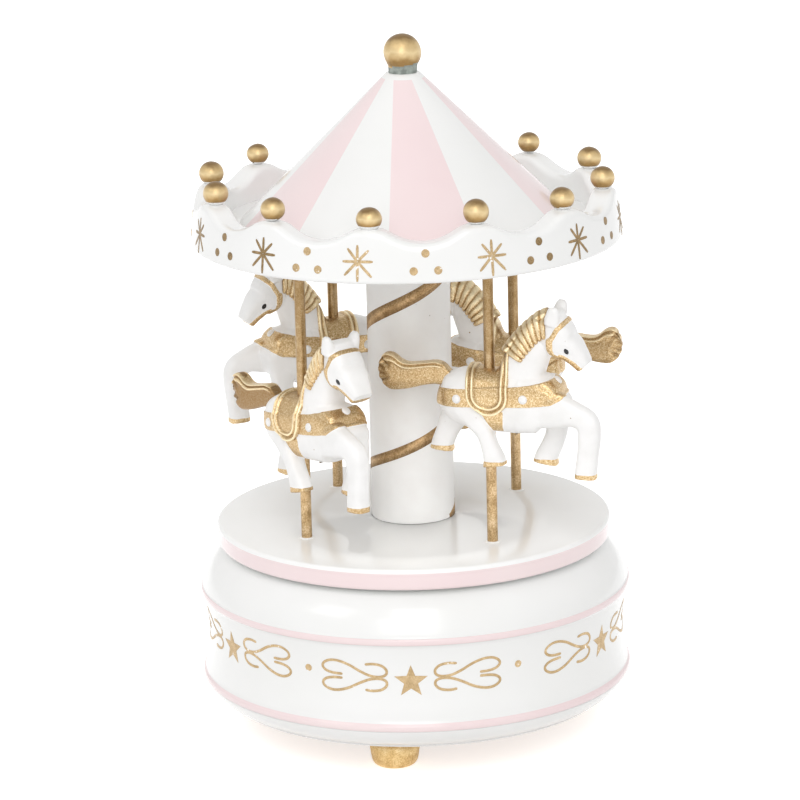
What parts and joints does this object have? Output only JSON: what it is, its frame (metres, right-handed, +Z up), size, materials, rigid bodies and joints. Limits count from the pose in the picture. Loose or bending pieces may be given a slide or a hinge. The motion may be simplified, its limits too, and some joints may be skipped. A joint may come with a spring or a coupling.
{
  "type": "carousel music box",
  "caption": "Wind-up carousel music box: horses on poles circle a column under a striped, scalloped canopy, on a round drum base that holds the musical movement.",
  "frame": {"origin": "on the turning axis, at floor level under the feet", "axes": "+Z up along the turning axis, -Y towards the viewer of the picture, +X to the viewer's right"},
  "size_m": [0.1082, 0.108, 0.1756],
  "materials": {
    "white_lacquer": "gloss white lacquer on turned wood, with pale pink painted bands",
    "bare_wood": "plain sanded wood",
    "gold_paint_wood": "metallic gold paint on turned wood",
    "white_resin": "cast resin, white with gold painted harness",
    "gold_metal": "gold painted rod",
    "cast_zinc": "die-cast, matt",
    "steel": "ground steel",
    "dark_plastic": "moulded",
    "brass": "machined brass"
  },
  "bodies": {
    "base": {"base_drum": "white_lacquer", "bottom_cover": "bare_wood", "cover_screws": "steel", "movement_screws": "steel", "bedplate": "cast_zinc", "shaft_bracket": "cast_zinc", "train_plate_outer": "cast_zinc", "train_plate_inner": "cast_zinc", "comb": "steel", "comb_block": "cast_zinc", "comb_screws": "steel", "spindle_bush": "brass", "foot_1": "gold_paint_wood", "foot_2": "gold_paint_wood", "foot_3": "gold_paint_wood"},
    "carousel": {"barrel_cap": "steel", "canopy_ceiling": "white_lacquer", "canopy_rim": "white_lacquer", "canopy_roof": "white_lacquer", "column": "white_lacquer", "column_dowel": "bare_wood", "finial_top": "gold_paint_wood", "horse_1": "white_resin", "horse_2": "white_resin", "horse_3": "white_resin", "horse_4": "white_resin", "mainspring": "steel", "pole_1": "gold_metal", "pole_2": "gold_metal", "pole_3": "gold_metal", "pole_4": "gold_metal", "rim_ball_01": "gold_paint_wood", "rim_ball_02": "gold_paint_wood", "rim_ball_03": "gold_paint_wood", "rim_ball_04": "gold_paint_wood", "rim_ball_05": "gold_paint_wood", "rim_ball_06": "gold_paint_wood", "rim_ball_07": "gold_paint_wood", "rim_ball_08": "gold_paint_wood", "rim_ball_09": "gold_paint_wood", "rim_ball_10": "gold_paint_wood", "rim_ball_11": "gold_paint_wood", "rim_ball_12": "gold_paint_wood", "spindle": "steel", "spindle_nut": "steel", "spring_barrel": "steel", "turntable": "white_lacquer", "turntable_hub": "steel"},
    "winder": {"winding_key": "brass", "winding_arbor": "steel"},
    "cylinder": {"music_cylinder": "brass", "cylinder_shaft": "steel", "cylinder_pinion": "brass", "cylinder_wheel": "brass"},
    "second_arbor": {"second_wheel": "brass"},
    "fly": {"fly_arbor": "brass", "fly_vane": "dark_plastic"}
  },
  "joints": [
    {"name": "carousel_turn", "type": "hinge", "parent": "base", "child": "carousel", "pos_m": [0, 0, 0.0485], "axis": [0, 0, 1], "continuous": true},
    {"name": "key_turn", "type": "hinge", "parent": "base", "child": "winder", "pos_m": [0, 0, 0.005], "axis": [0, 0, 1], "range_deg": [0, 1530]},
    {"name": "cylinder_turn", "type": "hinge", "parent": "base", "child": "cylinder", "pos_m": [0.0245, 0, 0.03302], "axis": [1, 0, 0], "continuous": true},
    {"name": "second_turn", "type": "hinge", "parent": "base", "child": "second_arbor", "pos_m": [0.033, 0.00987, 0.02943], "axis": [1, 0, 0], "continuous": true},
    {"name": "fly_turn", "type": "hinge", "parent": "base", "child": "fly", "pos_m": [0.033, 0.01953, 0.02684], "axis": [1, 0, 0], "continuous": true}
  ],
  "couplings": [
    {"joint": "cylinder_turn", "follows": "carousel_turn", "ratio": 2.1},
    {"joint": "second_turn", "follows": "carousel_turn", "ratio": -6.72},
    {"joint": "fly_turn", "follows": "carousel_turn", "ratio": 26.88}
  ]
}
